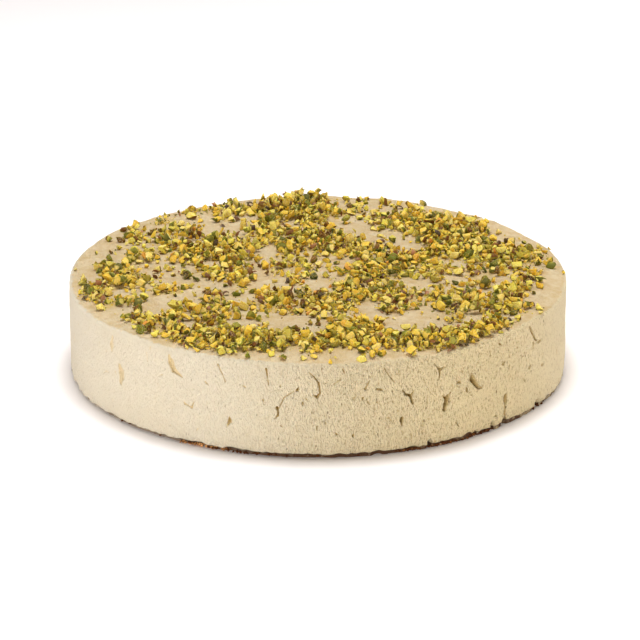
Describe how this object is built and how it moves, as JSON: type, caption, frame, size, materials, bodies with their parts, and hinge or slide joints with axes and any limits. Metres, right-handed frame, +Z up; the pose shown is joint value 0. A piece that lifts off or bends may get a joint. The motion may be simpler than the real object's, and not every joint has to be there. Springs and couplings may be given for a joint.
{
  "type": "pistachio halva cake",
  "caption": "Round cake of pressed halva, a low solid wheel with an uneven wall, crumbled foot edge and small creases, for chopped pistachios on top.",
  "frame": {"origin": "middle of the flat foot that the cake stands on", "axes": "+Z up through the middle of the cake, +X to the viewer's right, -Y towards the viewer"},
  "size_m": [0.3002, 0.3006, 0.0594],
  "materials": {
    "halva": "matt, slightly oily pressed sesame paste"
  },
  "bodies": {
    "root": {"halva": "halva"}
  },
  "joints": []
}
